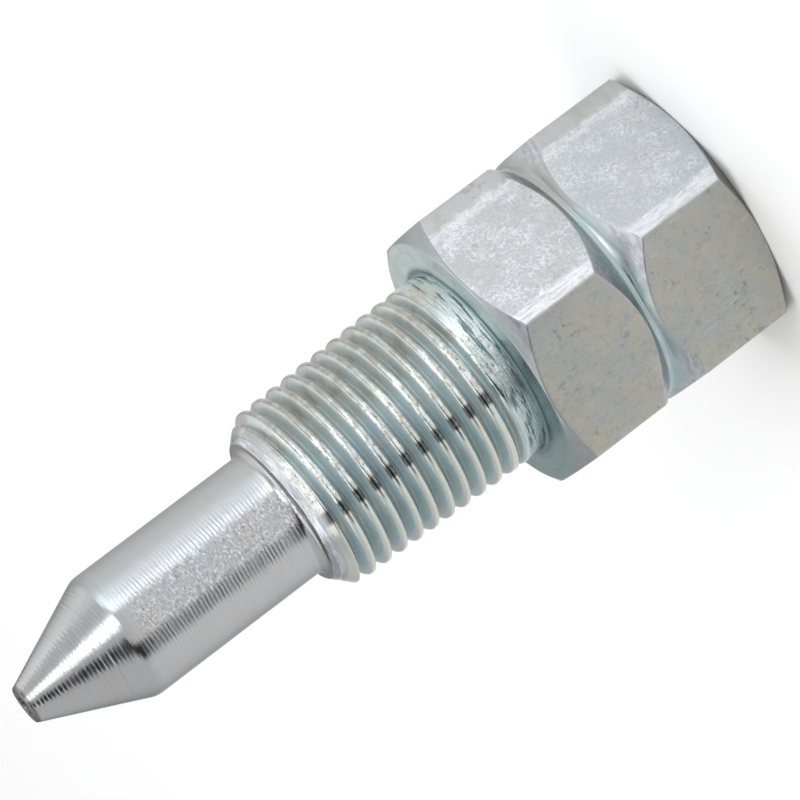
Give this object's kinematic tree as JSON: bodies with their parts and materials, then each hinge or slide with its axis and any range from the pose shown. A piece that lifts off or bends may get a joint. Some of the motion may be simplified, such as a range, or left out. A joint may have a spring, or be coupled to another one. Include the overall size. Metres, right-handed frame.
{
  "type": "needle nose grease adapter",
  "caption": "Turned hexagon adapter with a tapered outside thread and a slim conical nose that puts grease into small or flush fittings.",
  "frame": {"origin": "centre of the rear face, the face that the adapter stands on", "axes": "+Z along the adapter's axis towards the nose tip; two hexagon corners lie on the Y axis and two flats face +X and -X"},
  "size_m": [0.014, 0.0162, 0.0407],
  "materials": {
    "zinc_plated_steel": "clear zinc plate over turned and drawn steel, satin, with faint blue and straw tints"
  },
  "bodies": {
    "root": {"adapter_body": "zinc_plated_steel"}
  },
  "joints": []
}
